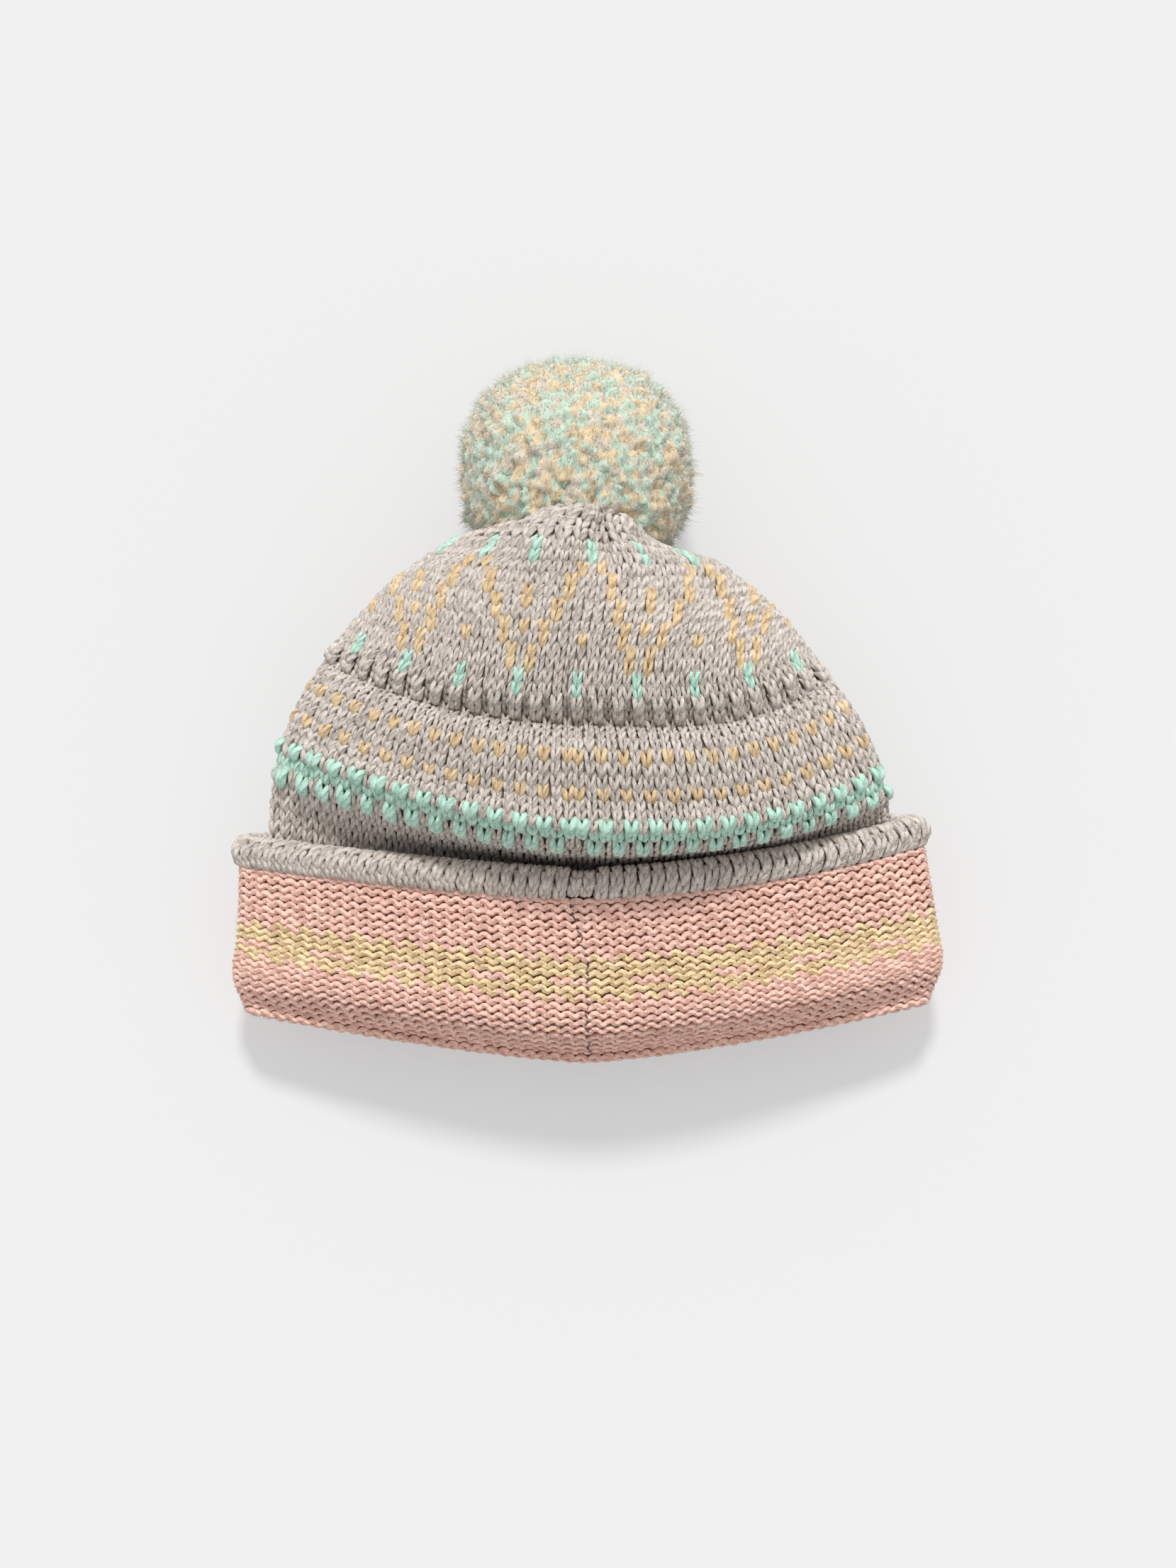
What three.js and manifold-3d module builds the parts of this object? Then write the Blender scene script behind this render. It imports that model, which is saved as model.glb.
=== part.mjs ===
// A knitted bobble cap, lying on its front with its back seam up: the crown, the turned-up
// cuff, the rolled edge along the top of the cuff, and the pompom.
// Millimetres. +X runs along the cuff, +Y from the mouth to the pompom, +Z up from the table.

import * as THREE from 'three';
import { mergeVertices } from 'three/addons/utils/BufferGeometryUtils.js';
import Module from 'manifold-3d';

// ---------------------------------------------------------------- driving dimensions

const WALL = 3; // thickness of one layer of the knitted fabric
const GAP = 0.35; // clearance between neighbouring pieces
const AROUND = 60; // facets round the cap
const FLAT_REACH = 1.25; // how far the resting side is pressed flat, over 1 at the middle
const FLAT_CURVE = 0.8; // how sharply the resting side turns up to the side creases
const LENS = 0.5; // the upper side of a section: 0 is an ellipse's, 1 a flat lens with sharp sides
const FOLD_RADIUS = WALL + GAP / 2; // half the thickness of the fold at the hem
const CENTRE = { x: -0.55, y: -0.29 }; // middle of the whole cap on the table

const ROLL = { radius: 5.7, pressed: 3.6, inset: 3.8, facets: 10 };
const POMPOM = { x: -4, y: 79, z: 31.6, wide: 38.8, deep: 38.4, high: 33, square: 0.88 };

// Each section is one loop round the cap. left and right are its side creases, back is its
// highest line and front the line that rests on the table. A bow says how the loop curves from
// a crease to the middle: 1 is straight, 4 is nearly flat with a round end.
const SECTION_COLUMNS = ['at', 'left', 'right', 'leftY', 'rightY', 'sideZ',
  'backY', 'backZ', 'frontY', 'frontZ', 'leftBow', 'rightBow'];

// The crown, at its knitted courses counted up from the top of the cuff.
const CROWN_SECTIONS = [
  [-15, -112, 112, -89, -86, 21, -110, 28, -90, 3.4, 1.4, 1.5],
  [-7, -113.2, 112.3, -71, -68, 24, -85, 41, -71, 3.4, 1.3, 1.8],
  [0, -108, 102.6, -45, -38, 26, -57, 39, -42, 8.5, 1.3, 2.1],
  [1.5, -107, 101.2, -33, -33, 28, -49.8, 45, -31, 7.6, 1.4, 2.2],
  [3, -105.5, 100.5, -22, -28, 31, -44.5, 65, -21, 4, 1.5, 2.4],
  [8, -99, 94.3, -2, -9, 34, -28, 76, -2, 0, 1.9, 3.2],
  [13, -90.5, 84, 13, 7, 35, -9, 77.5, 12, 0, 2.2, 3.6],
  [15, -88.2, 81.4, 16, 10, 35, -5, 71.5, 15, 0, 2.3, 3.6],
  [17, -86.2, 78.5, 20, 14, 35, 1, 77, 18, 0, 2.4, 3.2],
  [22, -73.4, 66.8, 34.5, 29, 36, 21, 81, 33, 0, 2.6, 3],
  [26, -61.8, 56, 45, 39, 37, 36, 80, 45, 5, 2.4, 2.4],
  [29, -50.6, 43, 52, 48.5, 39, 48, 77, 52, 13, 2.2, 2.2],
  [32, -35, 27, 57, 52.5, 42, 59, 72, 56, 25, 2.2, 2.4],
  [34, -22, 19, 59.3, 57, 44, 64.5, 66, 58, 33, 2.4, 2.8],
  [36, -8, 5, 59.5, 58.5, 46, 62, 50, 58, 42, 2, 2],
];
const CROWN_TIP = { x: -1.6, y: 59, z: 45.5 };

// The cuff's outer face, from the fold at the hem to its top edge under the roll.
const CUFF_SECTIONS = [
  [0, -117, 116.5, -99.5, -96.3, 21, -114.8, 33, -97, 0, 1.3, 1.4],
  [0.15, -119.6, 119.2, -93, -89, 23, -109, 40, -92, 0, 1.3, 1.5],
  [0.55, -118.3, 117.8, -76, -73, 25, -88, 47, -78, 0, 1.3, 1.7],
  [1, -117.5, 113.5, -53, -46.5, 26, -63, 50, -49, 0, 1.2, 1.9],
];

// The middle line of the rolled edge, before it is set in over the cuff's wall.
const ROLL_SECTION = [0, -118.4, 113.6, -47, -40.5, 26, -57.3, 52, -38.5, 0, 1.2, 1.9];

// Soft folds that run down from the tip. An angle is measured from the back seam, positive to
// the right, and a fold wanders from its first angle to its last.
const FOLD_COLUMNS = ['from', 'to', 'fromAngle', 'toAngle', 'width', 'depth'];
const CROWN_FOLDS = [
  [27, 37, 0.12, 0.42, 0.2, 6],
  [24, 34, 0.42, 0.62, 0.13, 4],
  [21, 32, 0.92, 0.75, 0.13, 3.5],
  [28, 37, -0.75, -0.6, 0.16, 2.5],
];

// Where the crown's loops of facets are, outside and inside, closer where it bends.
const CROWN_OUTER_AT = [-15, -7, 0, 1.5, 3, 5, 8, 11, 13, 14.2, 15, 15.8, 17, 19.5, 22, 24, 26,
  27.5, 29, 30.5, 32, 33, 34, 35, 36];
const CROWN_INNER_AT = [-15, -7, 0, 3, 8, 12, 15, 18, 22, 26, 29, 31.5, 33.5];

const COLOURS = { taupe: 0xb3a698, pink: 0xdba691, bobble: 0xcac8ac };

// ---------------------------------------------------------------- sections and loops

function named(columns, row) {
  return Object.fromEntries(columns.map((column, i) => [column, row[i]]));
}

// A smooth curve through every column of a section table.
function sectionCurve(table) {
  const at = table.map((row) => row[0]);
  const curve = new THREE.CubicInterpolant(at, table.flat(), SECTION_COLUMNS.length);
  return (place) => named(SECTION_COLUMNS, curve.evaluate(place));
}

// One point of a section. The angle is 0 on the back seam and a quarter turn at the right
// crease. The inset draws the loop in evenly from its sides, its top and its base.
function sectionPoint(section, angle, inset) {
  const across = Math.sin(angle);
  const rise = Math.abs(Math.cos(angle));
  const onBack = Math.cos(angle) >= 0;
  const bow = 1 - Math.abs(across) ** (across < 0 ? section.leftBow : section.rightBow);
  const middleX = (section.left + section.right) / 2;
  const middleY = (section.leftY + section.rightY) / 2;
  const slope = (section.rightY - section.leftY) / 2;
  const half = (section.right - section.left) / 2 - inset;
  const peakY = onBack ? section.backY : section.frontY;
  const top = section.backZ - inset;
  const base = Math.max(0, section.frontZ) + inset;
  const pressed = Math.max(0, 1 - FLAT_REACH * rise ** FLAT_CURVE);
  const z = onBack
    ? section.sideZ + (top - section.sideZ) * rise * (1 - LENS + LENS * rise)
    : base + (section.sideZ - base) * pressed;
  return new THREE.Vector3(middleX + half * across, middleY + slope * across + (peakY - middleY) * bow, z);
}

function angles() {
  return Array.from({ length: AROUND }, (_, i) => (2 * Math.PI * i) / AROUND);
}

// How deep the folds from the tip press the crown in at a course and an angle.
function foldDepth(course, angle) {
  const turn = angle > Math.PI ? angle - 2 * Math.PI : angle;
  let depth = 0;
  for (const row of CROWN_FOLDS) {
    const fold = named(FOLD_COLUMNS, row);
    const along = (course - fold.from) / (fold.to - fold.from);
    if (along > 0 && along < 1) {
      const middle = THREE.MathUtils.lerp(fold.fromAngle, fold.toAngle, along);
      const off = (turn - middle) / fold.width;
      depth += fold.depth * Math.sin(Math.PI * along) * Math.exp(-off * off);
    }
  }
  return depth;
}

// One loop of the crown. Near the tip the fabric faces the pompom, and above the cuff the
// back bulges out over the mouth, so in both places the wall is set in along Y as well.
function crownLoop(crownAt, course, inset) {
  const section = crownAt(course);
  const setBack = inset * 1.2 * THREE.MathUtils.smoothstep(course, 24, 33);
  const bulge = THREE.MathUtils.smoothstep(course, 0, 3) * (1 - THREE.MathUtils.smoothstep(course, 3, 8));
  return angles().map((angle) => {
    const point = sectionPoint(section, angle, inset);
    point.y += inset * 0.7 * bulge * Math.max(0, Math.cos(angle)) - setBack;
    point.z -= foldDepth(course, angle);
    return point;
  });
}

// ---------------------------------------------------------------- closed skins

// Joins loops of equal length into one closed body. Poles close the two ends, and without
// poles the last loop joins the first, as on a ring.
function skin(loops, startPole, endPole) {
  const count = loops[0].length;
  const points = loops.flat();
  const faces = [];
  const at = (row, i) => row * count + (i % count);
  const joins = startPole ? loops.length - 1 : loops.length;
  for (let row = 0; row < joins; row += 1) {
    const next = (row + 1) % loops.length;
    for (let i = 0; i < count; i += 1) {
      faces.push(at(row, i), at(next, i + 1), at(next, i));
      faces.push(at(row, i), at(row, i + 1), at(next, i + 1));
    }
  }
  if (startPole) {
    const first = points.push(startPole) - 1;
    const last = points.push(endPole) - 1;
    for (let i = 0; i < count; i += 1) {
      faces.push(first, at(0, i + 1), at(0, i));
      faces.push(last, at(loops.length - 1, i), at(loops.length - 1, i + 1));
    }
  }
  const geometry = new THREE.BufferGeometry().setFromPoints(points);
  geometry.setIndex(faces);
  return geometry;
}

// ---------------------------------------------------------------- the pieces

// The crown is one wall of fabric, open at the mouth and gathered shut at the tip.
function crownGeometry(crownAt) {
  const inner = CROWN_INNER_AT.map((course) => crownLoop(crownAt, course, WALL)).reverse();
  const outer = CROWN_OUTER_AT.map((course) => crownLoop(crownAt, course, 0));
  const tip = new THREE.Vector3(CROWN_TIP.x, CROWN_TIP.y, CROWN_TIP.z);
  const innerTip = tip.clone();
  innerTip.y -= WALL * 1.6;
  return skin([...inner, ...outer], innerTip, tip);
}

// The cuff is folded up at the hem: its wall stands outside the crown, and the fold turns in
// under the crown's lower edge.
function cuffGeometry() {
  const cuffAt = sectionCurve(CUFF_SECTIONS);
  const inside = 2 * FOLD_RADIUS;
  const outerFace = [1, 0.78, 0.55, 0.35, 0.15, 0].map((at) => [at, 0, 0]);
  const fold = [0.25, 0.5, 0.75].map((part) => [
    0,
    FOLD_RADIUS * (1 - Math.cos(Math.PI * part)),
    -FOLD_RADIUS * Math.sin(Math.PI * part),
  ]);
  const lip = [[0, inside, 0], [0, inside, 4], [0, WALL, 4]];
  const innerFace = [0.35, 0.65, 1].map((at) => [at, WALL, 0]);
  const loops = [...outerFace, ...fold, ...lip, ...innerFace].map(([at, inset, shift]) => {
    const section = cuffAt(at);
    return angles().map((angle) => {
      const point = sectionPoint(section, angle, inset);
      point.y += shift;
      return point;
    });
  });
  return skin(loops.reverse());
}

// The rolled edge is a soft round cord of fabric along the top of the cuff, pressed low where
// the cap lies on it.
function rollGeometry() {
  const section = named(SECTION_COLUMNS, ROLL_SECTION);
  const loops = Array.from({ length: ROLL.facets }, (_, k) => {
    const turn = (2 * Math.PI * k) / ROLL.facets;
    return angles().map((angle) => {
      const under = Math.max(0, -Math.cos(angle)) ** 0.5;
      const thick = THREE.MathUtils.lerp(ROLL.radius, ROLL.pressed, under);
      const middle = THREE.MathUtils.lerp(ROLL.inset, ROLL.pressed, under);
      const point = sectionPoint(section, angle, middle - thick * Math.cos(turn));
      point.y += ROLL.radius * Math.sin(turn);
      point.z = Math.max(0, point.z);
      return point;
    });
  });
  return skin(loops);
}

// A closed body for the library that cuts, from positions alone.
function solidOf(wasm, geometry) {
  const bare = geometry.clone();
  bare.deleteAttribute('normal');
  bare.deleteAttribute('uv');
  const merged = mergeVertices(bare, 1e-4);
  const vertProperties = new Float32Array(merged.attributes.position.array);
  const triVerts = new Uint32Array(merged.index.array);
  return new wasm.Manifold(new wasm.Mesh({ numProp: 3, vertProperties, triVerts }));
}

function geometryOf(solid) {
  const mesh = solid.getMesh();
  const geometry = new THREE.BufferGeometry();
  geometry.setAttribute('position', new THREE.BufferAttribute(mesh.vertProperties, 3));
  geometry.setIndex(new THREE.BufferAttribute(mesh.triVerts, 1));
  return geometry;
}

// The pompom is a slightly squared ball, flat where it rests, that parts round the tip.
function ballGeometry() {
  const ball = new THREE.SphereGeometry(1, 36, 20);
  const positions = ball.attributes.position;
  const squared = (value) => Math.sign(value) * Math.abs(value) ** POMPOM.square;
  for (let i = 0; i < positions.count; i += 1) {
    positions.setXYZ(
      i,
      POMPOM.x + POMPOM.wide * squared(positions.getX(i)),
      POMPOM.y + POMPOM.deep * squared(positions.getY(i)),
      Math.max(0, POMPOM.z + POMPOM.high * squared(positions.getZ(i))),
    );
  }
  return ball;
}

// The crown's upper part as a filled body, a gap larger than the fabric.
function tipFiller(crownAt) {
  const courses = CROWN_OUTER_AT.filter((course) => course >= 17);
  const loops = courses.map((course) => crownLoop(crownAt, course, -GAP * 2.5));
  const back = new THREE.Vector3(0, 0, 40);
  const front = new THREE.Vector3(CROWN_TIP.x, CROWN_TIP.y + WALL, CROWN_TIP.z);
  return skin(loops, back, front);
}

async function pompomGeometry(crownAt) {
  const wasm = await Module();
  wasm.setup();
  const ball = solidOf(wasm, ballGeometry());
  return geometryOf(ball.subtract(solidOf(wasm, tipFiller(crownAt))));
}

// ---------------------------------------------------------------- the assembly

function piece(name, geometry, color, roughness) {
  const material = new THREE.MeshStandardMaterial({ color, roughness, metalness: 0 });
  const mesh = new THREE.Mesh(geometry, material);
  mesh.name = name;
  return mesh;
}

const crownAt = sectionCurve(CROWN_SECTIONS);
const group = new THREE.Group();
group.add(piece('crown', crownGeometry(crownAt), COLOURS.taupe, 0.95));
group.add(piece('cuff', cuffGeometry(), COLOURS.pink, 0.95));
group.add(piece('cuff_roll', rollGeometry(), COLOURS.taupe, 0.95));
group.add(piece('pompom', await pompomGeometry(crownAt), COLOURS.bobble, 1));
group.position.set(-CENTRE.x, -CENTRE.y, 0);

export default group;
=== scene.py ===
# %% [markdown]
# # A knitted bobble hat, built from its stitches
#
# The real hat is one tube of chunky knit with a folded cuff, a rolled edge and a yarn pompom.
# It lies on its front with its back seam up. The usual way to fake knit is a picture of
# stitches on a smooth shape, but that looks flat from close by. Here each stitch is a pair of
# short yarn legs laid on a surface that follows the hat, and that surface comes from the same
# section tables as the construction, so the looks and the construction agree.

import bpy
import numpy as np
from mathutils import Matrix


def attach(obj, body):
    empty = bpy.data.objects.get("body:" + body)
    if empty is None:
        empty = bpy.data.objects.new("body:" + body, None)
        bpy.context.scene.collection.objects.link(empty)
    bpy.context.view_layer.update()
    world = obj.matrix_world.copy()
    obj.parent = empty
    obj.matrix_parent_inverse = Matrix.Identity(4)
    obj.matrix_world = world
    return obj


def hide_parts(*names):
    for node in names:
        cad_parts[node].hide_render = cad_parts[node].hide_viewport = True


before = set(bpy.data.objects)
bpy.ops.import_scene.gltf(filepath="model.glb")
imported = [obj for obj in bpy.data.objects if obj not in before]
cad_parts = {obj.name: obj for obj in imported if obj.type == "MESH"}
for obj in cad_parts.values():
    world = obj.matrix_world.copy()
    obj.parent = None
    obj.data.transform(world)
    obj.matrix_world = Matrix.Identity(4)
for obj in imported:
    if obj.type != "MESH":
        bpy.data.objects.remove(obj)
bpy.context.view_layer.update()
MM = 0.001
rng = np.random.default_rng(7)
print("construction nodes:", sorted(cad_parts))

# %% [markdown]
# ## The hat's surface
#
# The fabric is a soft tube that lies on its front, so no simple solid has its shape. It could
# be sculpted, but then nothing would tie it to the construction. Here a row of a table is one
# loop round the hat: its side creases, its back line on top, and its front line on the table.
# All sizes are in millimetres from the middle of the hat, and a smooth curve through each
# column gives the loops in between.

# %% Section tables
# at, left, right, leftY, rightY, sideZ, backY, backZ, frontY, frontZ, leftBow, rightBow
CROWN_SECTIONS = np.array([
    [-15, -112, 112, -89, -86, 21, -110, 28, -90, 3.4, 1.4, 1.5],
    [-7, -113.2, 112.3, -71, -68, 24, -85, 41, -71, 3.4, 1.3, 1.8],
    [0, -108, 102.6, -45, -38, 26, -57, 39, -42, 8.5, 1.3, 2.1],
    [1.5, -107, 101.2, -33, -33, 28, -49.8, 45, -31, 7.6, 1.4, 2.2],
    [3, -105.5, 100.5, -22, -28, 31, -44.5, 65, -21, 4, 1.5, 2.4],
    [8, -99, 94.3, -2, -9, 34, -28, 76, -2, 0, 1.9, 3.2],
    [13, -90.5, 84, 13, 7, 35, -9, 77.5, 12, 0, 2.2, 3.6],
    [15, -88.2, 81.4, 16, 10, 35, -5, 71.5, 15, 0, 2.3, 3.6],
    [17, -86.2, 78.5, 20, 14, 35, 1, 77, 18, 0, 2.4, 3.2],
    [22, -73.4, 66.8, 34.5, 29, 36, 21, 81, 33, 0, 2.6, 3],
    [26, -61.8, 56, 45, 39, 37, 36, 80, 45, 5, 2.4, 2.4],
    [29, -50.6, 43, 52, 48.5, 39, 48, 77, 52, 13, 2.2, 2.2],
    [32, -35, 27, 57, 52.5, 42, 59, 72, 56, 25, 2.2, 2.4],
    [34, -22, 19, 59.3, 57, 44, 64.5, 66, 58, 33, 2.4, 2.8],
    [36, -8, 5, 59.5, 58.5, 46, 62, 50, 58, 42, 2, 2],
])
CUFF_SECTIONS = np.array([
    [0, -117, 116.5, -99.5, -96.3, 21, -114.8, 33, -97, 0, 1.3, 1.4],
    [0.15, -119.6, 119.2, -93, -89, 23, -109, 40, -92, 0, 1.3, 1.5],
    [0.55, -118.3, 117.8, -76, -73, 25, -88, 47, -78, 0, 1.3, 1.7],
    [1, -117.5, 113.5, -53, -46.5, 26, -63, 50, -49, 0, 1.2, 1.9],
])
ROLL_SECTION = np.array([0, -118.4, 113.6, -47, -40.5, 26, -57.3, 52, -38.5, 0, 1.2, 1.9])
LOOP_VALUES = CROWN_SECTIONS.shape[1] - 1
CENTRE = np.array([-0.55, -0.29, 0.0])
WALL = 3.0
YARN_INSET = 1.6
print("loops in the tables: crown", len(CROWN_SECTIONS), "cuff", len(CUFF_SECTIONS), "roll 1")

# %% Curves through a table


def smooth_rows(table, places):
    """The table's columns at each place, by cubic curves whose slope at a row is the mean of
    the slopes either side of it."""
    at, values = table[:, 0], table[:, 1:]
    step = np.diff(at)[:, None]
    rise = np.diff(values, axis=0) / step
    inner = (rise[:-1] * step[1:] + rise[1:] * step[:-1]) / (step[1:] + step[:-1])
    slope = np.vstack([rise[:1], inner, rise[-1:]])
    i = np.clip(np.searchsorted(at, places, side="right") - 1, 0, len(at) - 2)
    h = step[i]
    u = (np.asarray(places)[:, None] - at[i][:, None]) / h
    start = (2 * u**3 - 3 * u**2 + 1) * values[i] + (u**3 - 2 * u**2 + u) * h * slope[i]
    end = (3 * u**2 - 2 * u**3) * values[i + 1] + (u**3 - u**2) * h * slope[i + 1]
    return start + end


def loops_at(table, places):
    """The loop of a section table at each of an array of places."""
    return smooth_rows(table, places.ravel()).reshape(places.shape + (LOOP_VALUES,))


def read_off(table, places):
    """The second column of a two-column table, by straight lines between its rows."""
    return np.interp(places, table[:, 0], table[:, 1])


def smooth_step(low, high, value):
    """0 below low, 1 above high, and an S curve between."""
    t = np.clip((value - low) / (high - low), 0, 1)
    return t * t * (3 - 2 * t)


def bell(value, middle, width, power=2):
    """1 at the middle, and falling off as an exponential of a power of the distance from it
    in widths. A power of 4 gives a flatter top and steeper sides than a power of 2."""
    return np.exp(-((value - middle) / width) ** power)


half_way = loops_at(CUFF_SECTIONS, np.array([0.5]))[0]
print("cuff half way up, mm across:", round(float(half_way[1] - half_way[0]), 1))

# %% A point of a loop


def section_points(section, angle, inset=0.0):
    """A point of a loop: across is the sine of the angle and the rise its cosine. The back
    follows a blend of an ellipse and a flat lens, and the front is pressed flat on the table."""
    left, right, left_y, right_y, side_z, back_y, back_z, front_y, front_z, left_bow, right_bow = (
        section[..., k] for k in range(LOOP_VALUES))
    across, rise = np.sin(angle), np.abs(np.cos(angle))
    on_back = np.cos(angle) >= 0
    bow = 1 - np.abs(across) ** np.where(across < 0, left_bow, right_bow)
    middle_y = (left_y + right_y) / 2
    x = (left + right) / 2 + ((right - left) / 2 - inset) * across
    y = middle_y + (right_y - left_y) / 2 * across + (np.where(on_back, back_y, front_y) - middle_y) * bow
    base = np.maximum(0, front_z) + inset
    pressed = np.maximum(0, 1 - 1.25 * rise**0.8)
    top = side_z + (back_z - inset - side_z) * rise * (0.5 + 0.5 * rise)
    z = np.where(on_back, top, base + (side_z - base) * pressed)
    return np.stack([x, y, z], axis=-1)


def widths(surface, places):
    """How wide a surface is at each of a few places, in whole millimetres."""
    loops = surface(np.array(places, dtype=float)[:, None], np.linspace(0, 2 * np.pi, 181)[None])
    return [int(round(width)) for width in np.ptp(loops[..., 0], axis=1)]


quarter = section_points(ROLL_SECTION[1:], np.array([0.0, np.pi / 2]), 0.0)
print("roll's loop at the back and at the right crease:", quarter.round(1).tolist())

# %% [markdown]
# ## The crown's face
#
# The crown is the hat's body: lightly filled with air, and gathered to a tip that lies over
# the pompom. One formula for all of it would be hard to steer, so the table gives the plain
# form and each thing that a hand did to the fabric comes on top as its own small function:
# soft folds out of the gathers, the knob of the tip, and the dip behind the rolled edge.

# %% Folds, knob and dip
# from, to, fromAngle, toAngle, width, depth
CROWN_FOLDS = [
    (27, 37, 0.12, 0.42, 0.20, 6.0),
    (24, 34, 0.42, 0.62, 0.13, 4.0),
    (21, 32, 0.92, 0.75, 0.13, 3.5),
    (28, 37, -0.75, -0.60, 0.16, 2.5),
]
# course, angle from the middle of the back
KNOB_LEFT = np.array([(27, -0.30), (29, -0.38), (32, -0.55), (35, -0.80)])
KNOB_RIGHT = np.array([(26, 0.46), (29, 0.50), (32, 0.66), (35, 0.95)])
KNOB_GROOVE = np.array([(27, 0.16), (29, 0.20), (32, 0.25), (36, 0.34)])
KNOB_START, KNOB_FULL = 26.5, 31
KNOB_HEIGHT = 5.0
EDGE_SOFTNESS = 0.10
GROOVE_DEPTH, GROOVE_WIDTH = 0.9, 0.085
DIP_DEPTH, DIP_PLACE, DIP_REACH = 9.0, 0.7, 0.85
DIP_MIDDLE, DIP_HALF_WIDTH = -0.05, 0.55


def angle_from_back(angle):
    """The angle brought between minus and plus half a turn."""
    return (angle + np.pi) % (2 * np.pi) - np.pi


def fold_depth(course, angle):
    """Soft folds from the tip: a bell curve across each fold, a half sine along it."""
    turn = angle_from_back(angle)
    depth = np.zeros(np.broadcast(course, angle).shape)
    for start, end, start_angle, end_angle, width, deep in CROWN_FOLDS:
        along = np.clip((course - start) / (end - start), 0, 1)
        middle = start_angle + (end_angle - start_angle) * along
        depth += deep * np.sin(np.pi * along) * bell(turn, middle, width)
    return depth


def knob(course, angle):
    """The gathered tip stands out as a knob: 1 between its two edges, which fan out towards the
    tip, and 0 beyond them, with a bell-shaped groove between its two lobes."""
    turn = angle_from_back(angle)
    left, right = read_off(KNOB_LEFT, course), read_off(KNOB_RIGHT, course)
    past_left = smooth_step(left - EDGE_SOFTNESS, left + EDGE_SOFTNESS, turn)
    past_right = smooth_step(right - EDGE_SOFTNESS, right + EDGE_SOFTNESS, turn)
    groove = GROOVE_DEPTH * bell(turn, read_off(KNOB_GROOVE, course), GROOVE_WIDTH)
    return smooth_step(KNOB_START, KNOB_FULL, course) * (past_left * (1 - past_right) - groove)


def dip(place, angle):
    """How deep the crown dips behind the rolled edge before it goes under it: a flat-topped
    bell across the back, times a bell over the table's places."""
    wide = bell(np.sin(angle), DIP_MIDDLE, DIP_HALF_WIDTH, 4) * (np.cos(angle) > 0)
    return DIP_DEPTH * wide * bell(place, DIP_PLACE, DIP_REACH)


print("deepest fold:", round(float(fold_depth(np.array([32.0]), np.array([0.27]))[0]), 1), "mm")

# %% The crown's outer face
HEM, FIRST_COURSE, MINT_START, TIP_COURSE = -15, -8, 3, 36
BACK_SHARE, SIDE_SHARE_LOSS = 0.74, 0.19
SHOULDER_REACH = 1.9
TIP_SPREAD, TIP_GROOVE = 4.5, 2.0
TIP_GROOVE_ANGLE, TIP_GROOVE_WIDTH = 0.34, 0.16


def fitted(course, angle):
    """The table's place of a knitted course. Below the mint rows the table's courses are
    taller at the sides than real ones, so more knitted courses share them there."""
    share = BACK_SHARE - SIDE_SHARE_LOSS * np.sin(angle) ** 2
    lowest = MINT_START - (MINT_START - FIRST_COURSE) * share
    inside_fold = lowest + (FIRST_COURSE - course) / (FIRST_COURSE - HEM) * (HEM - lowest)
    shrunk = np.where(course < FIRST_COURSE, inside_fold, MINT_START - (MINT_START - course) * share)
    return np.where(course < MINT_START, shrunk, course)


def crown_points(course, angle):
    """The crown's outer face at arrays of courses and angles, half a yarn in from the wall.
    Near the tip the left shoulder reaches up by a sine squared, the yarn's inset turns from
    height into length, and the last courses spread with a groove between the lobes."""
    course, angle = np.broadcast_arrays(course, angle)
    place = fitted(course, angle)
    points = section_points(loops_at(CROWN_SECTIONS, place), angle, YARN_INSET)
    points[..., 2] -= fold_depth(course, angle) + dip(place, angle)
    points[..., 2] += KNOB_HEIGHT * knob(course, angle)
    near_tip = smooth_step(28, 31, course) * (1 - smooth_step(34, TIP_COURSE, course))
    points[..., 1] += SHOULDER_REACH * near_tip * np.maximum(0, -np.sin(angle)) ** 2
    drawn_back = 0.3 * smooth_step(24, 33, course) + 1.5 * smooth_step(34, TIP_COURSE, course)
    points[..., 1] -= YARN_INSET * drawn_back
    last_courses = smooth_step(33.5, 35.2, course)
    points[..., 0] += TIP_SPREAD * last_courses * np.sin(angle)
    groove = bell(angle_from_back(angle), TIP_GROOVE_ANGLE, TIP_GROOVE_WIDTH)
    points[..., 1] -= TIP_GROOVE * last_courses * groove
    return points - CENTRE


print("crown at courses 0, 15 and 29, mm across:", widths(crown_points, [0, 15, 29]))

# %% [markdown]
# ## The faces of the cuff and the roll
#
# The cuff is the hat's lower end turned up, so its face goes up from the hem outside, and at
# the hem it turns in round a fold. Its free edge curls over, which is how plain knit ends on
# its own. The fold is half a circle and the roll a whole one, swept round the hat's loop.

# %% The cuff's outer face
CUFF_ROWS = 20.5
ROW_HEIGHT = 2.75
LIP_ROWS = 5
FOLD_ROWS = 3.6
CUFF_GAP = 0.35
FOLD_RADIUS = WALL + CUFF_GAP / 2
LOW_BACK_SWELL = 3.5


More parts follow.
